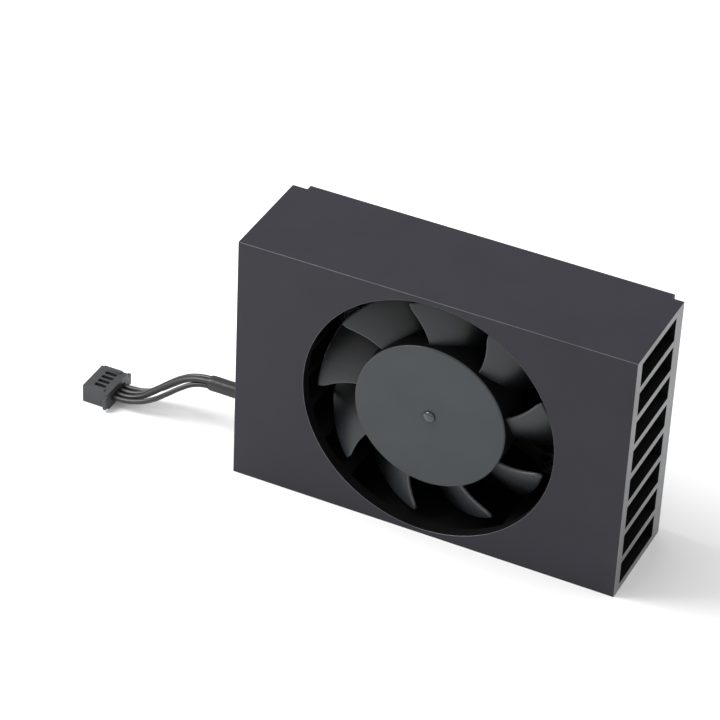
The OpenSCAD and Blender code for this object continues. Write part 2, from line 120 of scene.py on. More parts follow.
# Lead: the middle of its route as x, depth below the fan face and z, then how the wires lie in it
WIRE_D = 0.92 * MM
LEAD_ROUTE = [
    (-6.4, 9.3, 15.6), (-8, 9.5, 13.8), (-10, 9.9, 12), (-12.5, 10.2, 10.4), (-15.5, 10.4, 9.2),
    (-18.5, 10.45, 8.6), (-21.5, 10.45, 8.4), (-25, 10.45, 8.4), (-29, 10.45, 8.4),
    (-33, 10.45, 8.4), (-37, 10.45, 8.4), (-41, 10.45, 8.4), (-45, 10.45, 8.4),
    (-48, 10.4, 7.9), (-50.5, 10.2, 6.7), (-52.8, 9.7, 5.1), (-55, 9.2, 3.5),
    (-57.3, 8.75, 2.3), (-59.8, 8.5, 1.7), (-62.8, 8.5, 1.7)]
BUNDLE_HALF = WIRE_D / 2 + 0.02 * MM
BUNDLE_SIDE = [(1, -1), (-1, -1), (-1, 1), (1, 1)]
BOARD_ROW = [-1.5, -0.5, 0.5, 1.5]
BOARD_PITCH = WIRE_D + 0.08 * MM
PLUG_ROW = [1.5, -1.5, -0.5, 0.5]
PLUG_PITCH = 1.25 * MM
WIRES = ["ground_wire", "supply_wire", "speed_wire", "control_wire"]

# Stretches of the lead, each as the x in millimetres where it starts and its length towards the plug
LIFTING, GATHERING, SPREADING, FLATTENING = (-7, 5), (-12, 7), (-46, 7), (-53, 7)
GATHERED_X = LEAD_ROUTE[6][0]


# ---- Camera ----

def set_camera():
    """A long lens at the side of the fan face, a little above it, tilted by a few degrees."""
    place = Vector((0.1744, -0.4244, 0.3567))
    low, high = cad_box
    target = (low + high) / 2 + Vector((-0.001, 0, -0.0005))
    bpy.ops.object.camera_add(location=place)
    camera = bpy.context.object
    camera.rotation_mode = "QUATERNION"
    aim = (target - place).to_track_quat("-Z", "Y")
    camera.rotation_quaternion = aim @ Quaternion((0, 0, 1), math.radians(2.8))
    camera.data.lens = 172
    camera.data.clip_start = 0.02
    bpy.context.scene.camera = camera


# ---- Materials ----

def shader_of(material):
    return material.node_tree.nodes["Principled BSDF"]


def add(material, kind, **values):
    """A node with its properties and sockets set by name."""
    node = material.node_tree.nodes.new(kind)
    for key, value in values.items():
        if hasattr(node, key):
            setattr(node, key, value)
        else:
            node.inputs[key.replace("_", " ")].default_value = value
    return node


def wire_up(material, source, target):
    material.node_tree.links.new(source, target)


def noise_field(material, grain, detail=3.0, stretch=(1, 1, 1)):
    """Noise whose grain is a length on the piece, drawn out along an axis where stretch is over 1."""
    place = add(material, "ShaderNodeTexCoord").outputs["Object"]
    mapping = add(material, "ShaderNodeMapping")
    mapping.inputs["Scale"].default_value = [1 / (grain * s) for s in stretch]
    wire_up(material, place, mapping.inputs["Vector"])
    field = add(material, "ShaderNodeTexNoise", Scale=1.0, Detail=detail)
    wire_up(material, mapping.outputs["Vector"], field.inputs["Vector"])
    return field.outputs["Fac"]


def ranged(material, field, low, high):
    """The field's middle range spread between two values."""
    node = add(material, "ShaderNodeMapRange")
    for name, value in (("From Min", 0.3), ("From Max", 0.7), ("To Min", low), ("To Max", high)):
        node.inputs[name].default_value = value
    wire_up(material, field, node.inputs["Value"])
    return node.outputs["Result"]


def shaded(material, field, dark, light):
    """Colours between two ends, chosen by a field."""
    ramp = add(material, "ShaderNodeValToRGB")
    ramp.color_ramp.elements[0].position, ramp.color_ramp.elements[0].color = 0.3, (*dark, 1)
    ramp.color_ramp.elements[1].position, ramp.color_ramp.elements[1].color = 0.7, (*light, 1)
    wire_up(material, field, ramp.inputs["Fac"])
    return ramp.outputs["Color"]


def raised(material, field, height, strength=1.0):
    """A bump of that height in metres, on top of the bumps that are there already."""
    bump = add(material, "ShaderNodeBump", Strength=strength, Distance=height)
    wire_up(material, field, bump.inputs["Height"])
    normal = shader_of(material).inputs["Normal"]
    if normal.links:
        wire_up(material, normal.links[0].from_socket, bump.inputs["Normal"])
    wire_up(material, bump.outputs["Normal"], normal)


def drift(material):
    """Slow noise all over a piece."""
    return noise_field(material, 9 * MM, 2)


def painted_depth_shade(material):
    """Painted shade for the blades: a field that is 1 at the blades' front edges and falls to 0 behind them,
    so their colour darkens deeper in the fan cavity.
    """
    edge, reach = FRONT + BLADE_FRONT, 4.5 * MM
    depth = add(material, "ShaderNodeSeparateXYZ")
    wire_up(material, add(material, "ShaderNodeTexCoord").outputs["Object"], depth.inputs[0])
    falling = add(material, "ShaderNodeMapRange", From_Min=edge + reach, From_Max=edge)
    wire_up(material, depth.outputs["Y"], falling.inputs["Value"])
    return falling.outputs["Result"]


def finish(name, dark, light, roughness, grain, bump, metallic=0.0, specular=0.5, tint=drift, **sockets):
    """A surface whose colour follows a tint field, and whose gloss and bumps follow its grain."""
    material = bpy.data.materials.new(name)
    material.use_nodes = True
    shader = shader_of(material)
    shader.inputs["Metallic"].default_value = metallic
    shader.inputs["Specular IOR Level"].default_value = specular
    for socket, value in sockets.items():
        shader.inputs[socket.replace("_", " ")].default_value = value
    wire_up(material, shaded(material, tint(material), dark, light), shader.inputs["Base Color"])
    fine = noise_field(material, grain)
    wire_up(material, ranged(material, fine, *roughness), shader.inputs["Roughness"])
    raised(material, fine, bump)
    return material


def banded(material, axis, spacing, height):
    """Straight grooves across one axis, such as the edges of laminations or the turns of a coil."""
    place = add(material, "ShaderNodeTexCoord").outputs["Object"]
    wave = add(material, "ShaderNodeTexWave", wave_type="BANDS", bands_direction=axis,
               Scale=math.pi / (10 * spacing), Distortion=0.4)
    wave.inputs["Detail"].default_value = 1
    wire_up(material, place, wave.inputs["Vector"])
    raised(material, wave.outputs["Fac"], height, 0.8)
    return material


def grey(value, blue=0.0):
    """A grey, a little blue where blue is over 0."""
    return (value, value * (1 + blue / 3), value * (1 + blue))


def make_materials():
    """Every finish of the cooler, by a maker's name."""
    m = {}
    m["anodised"] = finish("black_anodised", (0.0085, 0.0074, 0.0150), (0.0112, 0.0100, 0.0180), (0.38, 0.48),
                           0.09 * MM, 0.004 * MM, specular=0.34)
    # edge finish: worn bare edges, made lighter as a painted highlight along the broken edges
    m["edge_wear_and_highlight"] = finish("anodised_edge_wear_and_highlight", grey(0.16, 0.08), grey(0.22, 0.08), (0.26, 0.36), 0.12 * MM,
                              0.003 * MM, metallic=0.7)
    m["sawn_end"] = finish("milled_fin_ends", grey(0.12, 0.06), grey(0.17, 0.08), (0.30, 0.42), 0.1 * MM,
                           0.003 * MM, metallic=0.7)
    banded(m["sawn_end"], "Z", 0.16 * MM, 0.0025 * MM)
    # painted shade: a near-black for recesses and walls that fall in shade, the same real surface as round
    # them
    m["channel"] = finish("channel_black", grey(0.003), grey(0.005), (0.55, 0.7), 0.15 * MM, 0.004 * MM,
                          specular=0.08)
    m["bare_thread"] = finish("cut_thread", grey(0.75), grey(0.85), (0.14, 0.24), 0.05 * MM, 0.002 * MM,
                              metallic=1.0)
    m["compound"] = finish("printed_compound", grey(0.84), grey(0.90), (0.75, 0.9), 0.12 * MM, 0.02 * MM,
                           specular=0.3)
    m["frame_plastic"] = finish("bracket_moulding", grey(0.006), grey(0.009), (0.45, 0.6), 0.1 * MM,
                                0.006 * MM, specular=0.3)
    m["hub"] = finish("hub_moulding", (0.027, 0.033, 0.0365), (0.032, 0.039, 0.043), (0.38, 0.48), 0.07 * MM,
                      0.003 * MM, specular=0.42)
    # blades: painted shade, colour lighter at the front edges and darker deeper in the cavity
    m["blade"] = finish("blade_moulding", (0.002, 0.0025, 0.0032), (0.014, 0.0175, 0.0205), (0.36, 0.44),
                        0.2 * MM, 0.001 * MM, tint=painted_depth_shade)
    # blade lip: painted highlight, a lighter and glossier band along the blades' front edges
    m["lip"] = finish("blade_lip_painted_highlight", grey(0.05, 0.12), grey(0.07, 0.12), (0.24, 0.32), 0.2 * MM, 0.001 * MM)
    m["pip"] = finish("polished_pip", (0.034, 0.040, 0.0435), (0.040, 0.047, 0.051), (0.10, 0.16), 0.2 * MM,
                      0.0005 * MM, specular=0.7)
    m["steel"] = finish("ground_steel", grey(0.55), grey(0.64), (0.14, 0.26), 0.06 * MM, 0.001 * MM,
                        metallic=1.0)
    m["screw"] = finish("black_oxide_screw", grey(0.014), grey(0.022), (0.3, 0.42), 0.1 * MM, 0.002 * MM,
                        metallic=0.8)
    m["brass"] = finish("turned_brass", (0.62, 0.42, 0.17), (0.74, 0.54, 0.24), (0.18, 0.3), 0.08 * MM,
                        0.001 * MM, metallic=1.0)
    banded(m["brass"], "Y", 0.06 * MM, 0.001 * MM)
    m["yoke"] = finish("drawn_yoke", (0.34, 0.36, 0.37), (0.44, 0.45, 0.46), (0.26, 0.4), 0.12 * MM,
                       0.002 * MM, metallic=1.0)
    m["magnet"] = finish("bonded_ferrite", grey(0.028), grey(0.05), (0.6, 0.8), 0.05 * MM, 0.006 * MM)
    m["lamination"] = banded(finish("stamped_laminations", grey(0.26), grey(0.36), (0.3, 0.46), 0.1 * MM,
                                    0.002 * MM, metallic=1.0), "Y", 0.35 * MM, 0.02 * MM)
    m["insulator"] = finish("nylon_insulator", (0.62, 0.56, 0.42), (0.72, 0.67, 0.54), (0.34, 0.5), 0.1 * MM,
                            0.004 * MM, Subsurface_Weight=0.1, Subsurface_Radius=(0.5 * MM,) * 3)
    m["copper"] = finish("enamelled_copper", (0.48, 0.16, 0.06), (0.66, 0.28, 0.12), (0.16, 0.28), 0.12 * MM,
                         0.003 * MM, metallic=1.0)
    m["tin"] = finish("tinned_metal", grey(0.66), grey(0.78), (0.16, 0.3), 0.08 * MM, 0.003 * MM,
                      metallic=1.0)
    m["board"] = finish("solder_mask", (0.008, 0.085, 0.036), (0.014, 0.13, 0.055), (0.2, 0.3), 0.3 * MM,
                        0.006 * MM, Coat_Weight=0.4, Coat_Roughness=0.12)
    m["chip"] = finish("chip_epoxy", grey(0.014), grey(0.022), (0.5, 0.65), 0.05 * MM, 0.004 * MM)
    m["ceramic"] = finish("capacitor_ceramic", (0.30, 0.19, 0.10), (0.42, 0.29, 0.17), (0.4, 0.55), 0.06 * MM,
                          0.003 * MM)
    m["wire"] = finish("soft_vinyl", grey(0.010), grey(0.016), (0.30, 0.42), 0.25 * MM, 0.004 * MM)
    m["sleeve"] = finish("shrunk_sleeve", grey(0.010), grey(0.015), (0.34, 0.50), 0.35 * MM, 0.02 * MM)
    m["plug"] = finish("plug_nylon", grey(0.022, 0.12), grey(0.032, 0.14), (0.34, 0.48), 0.12 * MM,
                       0.006 * MM)
    return m


# ---- Bench work: small steps that every piece goes through ----

def only(piece):
    """Makes the piece the one that operators act on."""
    bpy.ops.object.select_all(action="DESELECT")
    piece.select_set(True)
    bpy.context.view_layer.objects.active = piece


def settled(piece):
    """Puts the piece's place into its mesh, so that its object sits at the origin."""
    only(piece)
    bpy.ops.object.transform_apply(location=True, rotation=True, scale=True)
    return piece


def modified(piece, kind, **values):
    """Adds one modifier with its values and applies it."""
    modifier = piece.modifiers.new(kind.lower(), kind)
    for key, value in values.items():
        setattr(modifier, key, value)
    only(piece)
    bpy.ops.object.modifier_apply(modifier=modifier.name)
    return piece


def joined(pieces):
    only(pieces[0])
    for piece in pieces:
        piece.select_set(True)
    bpy.ops.object.join()
    return bpy.context.object


def carved(piece, cutters, operation="DIFFERENCE"):
    """Cuts the cutters out of the piece, or fuses them to it."""
    tool = joined(cutters)
    modified(piece, "BOOLEAN", operation=operation, solver="EXACT", object=tool)
    bpy.data.objects.remove(tool)
    return piece


def block(low, high):
    """A box between two corners."""
    low, high = Vector(low), Vector(high)
    bpy.ops.mesh.primitive_cube_add(size=1, location=(low + high) / 2, scale=high - low)
    return settled(bpy.context.object)


def peg(x, z, radius, front, back, vertices=48, end_radius=None):
    """A cylinder or cone along Y from front to back."""
    far = radius if end_radius is None else end_radius
    bpy.ops.mesh.primitive_cone_add(vertices=vertices, radius1=far, radius2=radius, depth=back - front,
                                    location=(x, (front + back) / 2, z), rotation=(math.radians(90), 0, 0))
    return settled(bpy.context.object)


def open_for_edit(piece):
    """Goes into edit mode with the whole of the piece selected."""
    only(piece)
    bpy.ops.object.mode_set(mode="EDIT")
    bpy.ops.mesh.select_all(action="SELECT")


def pick_edges(piece, wanted):
    """Selects only the wanted edges of a piece in edit mode."""
    bpy.ops.mesh.select_all(action="DESELECT")
    mesh = bmesh.from_edit_mesh(piece.data)
    for edge in mesh.edges:
        edge.select_set(bool(wanted(edge)))
    bmesh.update_edit_mesh(piece.data)


def bevelled(piece, wanted, width, segments=2, material=-1):
    """Rounds the wanted edges."""
    open_for_edit(piece)
    bpy.ops.mesh.select_mode(type="EDGE")
    pick_edges(piece, wanted)
    bpy.ops.mesh.bevel(offset=width, segments=segments, affect="EDGES", clamp_overlap=True,
                       material=material)
    bpy.ops.object.mode_set(mode="OBJECT")
    return piece


def is_sharp(edge, degrees=30):
    return len(edge.link_faces) == 2 and edge.calc_face_angle(0) > math.radians(degrees)


def softened(piece, width, segments=2, degrees=35):
    """Rounds every sharp edge of a small piece."""
    return modified(piece, "BEVEL", width=width, segments=segments, limit_method="ANGLE",
                    angle_limit=math.radians(degrees), harden_normals=False)


def turned(outline, segments=96, softening=0.0):
    """A turned piece: an outline of radius and depth pairs spun round the fan's axis."""
    bpy.ops.mesh.primitive_circle_add(vertices=len(outline), radius=1, fill_type="NGON")
    piece = bpy.context.object
    for vertex, (radius, depth) in zip(piece.data.vertices, outline):
        vertex.co = (radius, 0, depth)
    open_for_edit(piece)
    bpy.ops.mesh.delete(type="ONLY_FACE")
    bpy.ops.mesh.select_all(action="SELECT")
    bpy.ops.mesh.spin(steps=segments, angle=math.tau, center=(0, 0, 0), axis=(0, 0, 1))
    bpy.ops.mesh.select_all(action="SELECT")
    bpy.ops.mesh.remove_doubles(threshold=0.2e-6)
    bpy.ops.mesh.normals_make_consistent(inside=False)
    bpy.ops.object.mode_set(mode="OBJECT")
    if softening:
        softened(piece, softening)
    piece.data.transform(ON_FAN_AXIS)
    return piece


def mended(piece):
    """Makes all faces point outwards."""
    open_for_edit(piece)
    bpy.ops.mesh.normals_make_consistent(inside=False)
    bpy.ops.object.mode_set(mode="OBJECT")
    return piece


def refined(node, width, segments=2):
    """A merged copy of a frame node with its sharp edges rounded."""
    source = frame["nodes"][node]
    piece = bpy.data.objects.new(node + "_copy", source.data.copy())
    bpy.context.scene.collection.objects.link(piece)
    open_for_edit(piece)
    bpy.ops.mesh.remove_doubles(threshold=1e-6)
    bpy.ops.mesh.dissolve_limited(angle_limit=math.radians(1))
    bpy.ops.object.mode_set(mode="OBJECT")
    if width:
        softened(piece, width, segments)
    return piece


def handed_in(piece, name, body, materials, nodes):
    """Names a finished piece, smooths it, ties it to its body and its finish, and hides the frame nodes it
    stands for.
    """
    piece.name = piece.data.name = name
    if materials:
        piece.data.materials.clear()
        for material in materials:
            piece.data.materials.append(material)
    only(piece)
    bpy.ops.object.shade_smooth_by_angle(angle=math.radians(50))
    modified(piece, "WEIGHTED_NORMAL", weight=90, keep_sharp=True)
    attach(piece, body)
    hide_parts(*nodes)
    return piece


# ---- Lead ----

def smooth(t):
    """An even start and stop between 0 and 1."""
    t = min(max(t, 0.0), 1.0)
    return t * t * (3 - 2 * t)


def done(x, stretch):
    """How much of a stretch of the lead is behind a place at x, from 0 to 1."""
    start, length = stretch
    return smooth((start - x) / length)


def wire_place(k, x):
    """Place of wire k across the lead where the lead's middle is at x, in millimetres."""
    side = [BUNDLE_HALF * s for s in BUNDLE_SIDE[k]]
    if x > GATHERED_X:
        lift, gather = done(x, LIFTING), done(x, GATHERING)
        return side[0] * lift, BOARD_ROW[k] * BOARD_PITCH * (1 - gather) + side[1] * gather
    spread, flatten = done(x, SPREADING), done(x, FLATTENING)
    return side[0] * (1 - spread) + PLUG_ROW[k] * PLUG_PITCH * spread, side[1] * (1 - flatten)


def wire_path(k):
    """Places along wire k, from the motor board to the plug."""
    middle = [Vector((x * MM, FRONT + depth * MM, z * MM)) for x, depth, z in LEAD_ROUTE]
    path = []
    for i, point in enumerate(middle):
        along = (middle[min(i + 1, len(middle) - 1)] - middle[max(i - 1, 0)]).normalized()
        up = Vector((0, 1, 0)).cross(along).normalized()
        across = along.cross(up)
        aside, lifted = wire_place(k, LEAD_ROUTE[i][0])
        path.append(point + aside * across + lifted * up)
    return path


def make_wire(k, material):
    """One wire of the lead, whole from the motor board to its contact."""
    path = wire_path(k)
    data = bpy.data.curves.new(WIRES[k], "CURVE")
    data.dimensions = "3D"
    data.bevel_depth = WIRE_D / 2
    data.bevel_resolution = 4
    data.resolution_u = 6
    data.use_fill_caps = True
    spline = data.splines.new("BEZIER")
    spline.bezier_points.add(len(path) - 1)
    for point, place in zip(spline.bezier_points, path):
        point.co = place
        point.handle_left_type = point.handle_right_type = "AUTO"
    piece = bpy.data.objects.new("lead_" + WIRES[k], data)
    bpy.context.scene.collection.objects.link(piece)
    data.materials.append(material)
    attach(piece, "cooler")
    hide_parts(WIRES[k])
    length = sum((b - a).length for a, b in zip(path, path[1:]))
    return piece, length


def make_sleeve(material):
    """Sleeve shrunk over the four wires: a rounded square tube with faint waves and rolled ends."""
    low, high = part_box("lead_sleeve")
    middle = (low + high) / 2
    corner = BUNDLE_HALF * math.sqrt(2) + WIRE_D / 2 + 0.03 * MM
    flat = BUNDLE_HALF + WIRE_D / 2 + 0.08 * MM
    wall = 0.2 * MM
    sides, rings = 48, 44

    def inner_radius(angle):
        square = flat / max(abs(math.cos(angle)), abs(math.sin(angle)))
        return min(square, corner)

    tube = []
    for is_outer in (True, False):
        bpy.ops.mesh.primitive_cylinder_add(vertices=sides, radius=1, depth=1, end_fill_type="NOTHING",
                                            rotation=(0, math.radians(90), 0))
        shell = settled(bpy.context.object)
        grid = bmesh.new()
        grid.from_mesh(shell.data)
        along = [e for e in grid.edges if abs(e.verts[0].co.x - e.verts[1].co.x) > 0.5]
        bmesh.ops.subdivide_edges(grid, edges=along, cuts=rings - 1, use_grid_fill=True)
        for vertex in grid.verts:
            share = vertex.co.x + 0.5
            angle = math.atan2(vertex.co.z, vertex.co.y)
            end = min(share, 1 - share) * (high.x - low.x)
            wave = 0.025 * MM * noise.noise(Vector((share * 14, math.cos(angle) * 2, math.sin(angle) * 2)))
            radius = inner_radius(angle)
            if is_outer:
                radius += (wall + wave) * (1 if end > 0.1 * MM else 0.55)
            vertex.co = (low.x + share * (high.x - low.x), middle.y + radius * math.cos(angle),
                         middle.z + radius * math.sin(angle))
        grid.to_mesh(shell.data)
        grid.free()
        tube.append(shell)
    sleeve = joined(tube)
    for end_x in (low.x, high.x):
        open_for_edit(sleeve)
        pick_edges(sleeve, lambda e: all(abs(v.co.x - end_x) < 1e-6 for v in e.verts))
        bpy.ops.mesh.bridge_edge_loops()
        bpy.ops.object.mode_set(mode="OBJECT")
    return handed_in(mended(sleeve), "lead_sleeve_shrunk", "cooler", [material], ["lead_sleeve"])


def make_plug(materials):
    """Plug housing with rounded edges, and its four contacts."""
    housing = refined("plug_housing", 0.07 * MM)
    housing = handed_in(housing, "plug_shell", "cooler", [materials["plug"]],
                        ["plug_housing"])
    contacts = refined("plug_contacts", 0.03 * MM)
    contacts = handed_in(contacts, "plug_terminals", "cooler", [materials["tin"]],
                         ["plug_contacts"])
    return housing, contacts


def make_lead(materials):
    wires = [make_wire(k, materials["wire"]) for k in range(len(WIRES))]
    sleeve = make_sleeve(materials["sleeve"])
    plug = make_plug(materials)


# ---- Heatsink ----

def screw_places():
    """Middles of the four module screws, as x and z."""
    return [(SCREW_MIDDLE[0] + a * SCREW_SPAN[0] / 2, SCREW_MIDDLE[1] + b * SCREW_SPAN[1] / 2)
            for a in (-1, 1) for b in (-1, 1)]


def leg_places():
    """Middles of the fan bracket's four legs, as x and z."""
    return [(a * LEG_X, FAN_Z + b * 1.5 * PITCH) for a in (-1, 1) for b in (-1, 1)]


def cut_ledges(body):
    """Lowers both ends of the contact side and opens the two component pockets."""
    level = BACK - STEP_T
    lead_edge, far_edge = LOW.x + LEAD_LEDGE, HIGH.x - FAR_LEDGE
    carved(body, [block((LOW.x - OVER, level, -OVER), (lead_edge, BACK + OVER, WIDTH + OVER)),
                  block((far_edge, level, -OVER), (HIGH.x + OVER, BACK + OVER, WIDTH + OVER))])
    pockets = [(LOW.x - OVER, LOW.x + LEAD_POCKET), (HIGH.x - FAR_POCKET, HIGH.x + OVER)]
    for low_x, high_x in pockets:
        pocket = block((low_x, level, POCKET_LOW), (high_x, BACK + OVER, POCKET_HIGH))
        bevelled(pocket, lambda e: abs(e.verts[0].co.y - e.verts[1].co.y) > OVER / 2, POCKET_R, 8)
        carved(body, [pocket])

    def is_mouth(edge):
        a, b = (v.co for v in edge.verts)
        upright = abs(a.y - b.y) > STEP_T / 2
        at_ledge = min(abs(a.x - lead_edge), abs(a.x - far_edge)) < 1e-6
        return upright and at_ledge and LOW.z + MM < a.z < WIDTH - MM

    bevelled(body, is_mouth, MOUTH_R, 6)


def cut_channels(body):
    carved(body, [block((LOW.x - OVER, FRONT + FACE_T, FIN_T + i * PITCH),
                        (HIGH.x + OVER, FLOOR, (i + 1) * PITCH)) for i in range(CHANNELS)])


def cut_bores(body):
    """The fan cavity, the module's threaded holes and the holes of the bracket's screws."""
    carved(body, [peg(0, FAN_Z, OPENING_R, FRONT - OVER, FRONT + CAVITY_T, 192)])
    carved(body, [peg(x, z, SCREW_R, BACK - SCREW_DEPTH, BACK + OVER) for x, z in screw_places()])
    sink = SINK_R - SCREW_R
    carved(body, [peg(x, z, SCREW_R - 0.1 * MM, BACK - sink - 0.1 * MM, BACK + 0.1 * MM, 48,
                      SINK_R + 0.1 * MM) for x, z in screw_places()])
    carved(body, [peg(x, z, MM, FLOOR - OVER, FRONT + LEG_HOLE_END, 32) for x, z in leg_places()])


def on_outside(point):
    """Whether a point lies on one of the body's outer faces."""
    planes = (point.x - LOW.x, point.x - HIGH.x, point.y - FRONT, point.y - BACK, point.y - BACK + STEP_T,
              point.z, point.z - WIDTH)
    return min(abs(d) for d in planes) < 2e-6


def on_contact_side(point):
    """Whether a point lies among the ledges, pockets and screw holes, clear of the outer edges."""
    return LOW.x + MM < point.x < HIGH.x - MM and MM < point.z < WIDTH - MM \
        and point.y > BACK - STEP_T - NEAR


def make_heatsink(materials):
    """Body milled from one block: pockets, channels, fan cavity and holes, then all outer edges broken."""
    body = block(LOW, HIGH)
    cut_ledges(body)
    cut_channels(body)
    cut_bores(body)
    open_for_edit(body)
    bpy.ops.mesh.remove_doubles(threshold=1e-6)
    bpy.ops.mesh.dissolve_limited(angle_limit=math.radians(0.5))
    bpy.ops.object.mode_set(mode="OBJECT")
    anodised, edge_wear_and_highlight_slot, sawn, painted_shade_slot, thread = range(5)
    for name in ("anodised", "edge_wear_and_highlight", "sawn_end", "channel", "bare_thread"):
        body.data.materials.append(materials[name])

    def is_outer(edge):
        return is_sharp(edge) and all(on_outside(v.co) for v in edge.verts) \
            and on_outside((edge.verts[0].co + edge.verts[1].co) / 2)

    # the broken outer edges take the edge finish: edge wear with a painted highlight
    bevelled(body, is_outer, BROKEN_EDGE, 2, material=edge_wear_and_highlight_slot)
    # Painted shade: the channels, fan cavity, ledge and pocket walls and the feet of the pocket edges take
    # the near-black; the other edges on the contact side take the plain anodised finish
    for face in body.data.polygons:
        centre, normal = face.center, face.normal
        from_axis = math.hypot(centre.x, centre.z - FAN_Z)
        inside = LOW.x + NEAR < centre.x < HIGH.x - NEAR and FRONT + MM < centre.y < FLOOR + NEAR
        from_screw = min(math.hypot(centre.x - x, centre.z - z) for x, z in screw_places())
        if face.material_index == edge_wear_and_highlight_slot:
            if on_contact_side(centre):
                face.material_index = painted_shade_slot if centre.y < BACK - STEP_T / 2 else anodised
        elif from_screw < SCREW_R + 0.02 * MM and centre.y > FLOOR + NEAR:
            face.material_index = thread
        elif on_contact_side(centre) and abs(normal.y) < 0.95:
            face.material_index = painted_shade_slot
        elif abs(normal.x) > 0.99 and min(centre.x - LOW.x, HIGH.x - centre.x) < 0.01 * MM:
            face.material_index = sawn
        elif inside and (from_axis < OPENING_R or 0.5 * MM < centre.z < WIDTH - 0.5 * MM):
            face.material_index = painted_shade_slot
    handed_in(body, "heatsink_body", "cooler", [], ["heatsink"])


def make_threads(materials):
    """Thread ridges in the module's holes, one helix for each."""
    turns = int((SCREW_DEPTH - 0.55 * MM) / THREAD_PITCH) - 1
    ridges = []
    for x, z in screw_places():
        bpy.ops.mesh.primitive_circle_add(vertices=3, radius=1, fill_type="NGON")
        ridge = bpy.context.object
        outline = ((SCREW_R + 0.01 * MM, 0), (SCREW_R - 0.2 * MM, THREAD_PITCH * 0.45),
                   (SCREW_R + 0.01 * MM, THREAD_PITCH * 0.9))
        for vertex, (radius, height) in zip(ridge.data.vertices, outline):
            vertex.co = (radius, 0, height)
        open_for_edit(ridge)
        bpy.ops.mesh.delete(type="ONLY_FACE")
        bpy.ops.object.mode_set(mode="OBJECT")
        modified(ridge, "SCREW", steps=28, render_steps=28, iterations=turns, screw_offset=THREAD_PITCH)
        open_for_edit(ridge)
        bpy.ops.mesh.remove_doubles(threshold=1e-6)
        bpy.ops.mesh.select_all(action="DESELECT")
        bpy.ops.mesh.select_non_manifold()
        bpy.ops.mesh.fill()
        bpy.ops.object.mode_set(mode="OBJECT")
        mended(ridge)
        ridge.data.transform(Matrix.Translation((x, BACK - SCREW_DEPTH + 0.1 * MM, z))
                             @ Matrix.Rotation(math.radians(-90), 4, "X"))
        ridges.append(ridge)
    return handed_in(joined(ridges), "module_threads", "cooler", [materials["bare_thread"]], [])


def make_thermal_print(materials):
    """One printed square with soft corners, laid out in a grid, each a little uneven."""
    low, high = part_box("thermal_print")
    columns, rows, side = 11, 8, 2.1 * MM
    corner, soft_edge, unevenness = 0.22 * MM, 0.035 * MM, 0.03 * MM
    pitch = (high.x - low.x - side) / (columns - 1)
    square = block(low, (low.x + side, high.y, low.z + side))
    bevelled(square, lambda e: abs(e.verts[0].co.y - e.verts[1].co.y) > 1e-6, corner, 3)
    bevelled(square, lambda e: is_sharp(e) and all(v.co.y > high.y - 1e-6 for v in e.verts), soft_edge, 2)
    modified(square, "ARRAY", count=columns, use_relative_offset=False, use_constant_offset=True,
             constant_offset_displace=(pitch, 0, 0))
    modified(square, "ARRAY", count=rows, use_relative_offset=False, use_constant_offset=True,
             constant_offset_displace=(0, 0, pitch))
    noise.seed_set(1)       # without a seed of its own, noise_vector follows the clock
    for vertex in square.data.vertices:
        shift = noise.noise_vector(vertex.co / (0.7 * MM)) * unevenness
        vertex.co.x += shift.x
        vertex.co.z += shift.z
    return handed_in(square, "compound_squares", "cooler", [materials["compound"]],
                     ["thermal_print"])


# ---- Fan ----

def make_hub():
    """Hub cup: rounded front edge, a dimple and a pip in the middle."""
    edge, pip_rise, pip_foot = 0.35 * MM, 0.6 * MM, 0.12 * MM
    quarter = [math.radians(a) for a in range(0, 91, 15)]
    pip = [(PIP_R * math.sin(a), HUB_FACE + pip_foot - pip_rise * math.cos(a)) for a in quarter]
    dimple = [(DIMPLE_R - 0.4 * MM, HUB_FACE + 0.14 * MM), (DIMPLE_R, HUB_FACE)]
    rim = [(HUB_R - edge + edge * math.sin(a), HUB_FACE + edge - edge * math.cos(a)) for a in quarter]
    back = [(HUB_R, HUB_SKIRT), (YOKE_R, HUB_SKIRT), (YOKE_R, HUB_WALL_BACK), (0, HUB_WALL_BACK)]
    outline = pip + dimple + rim + back
    return turned(outline[::-1], 144)


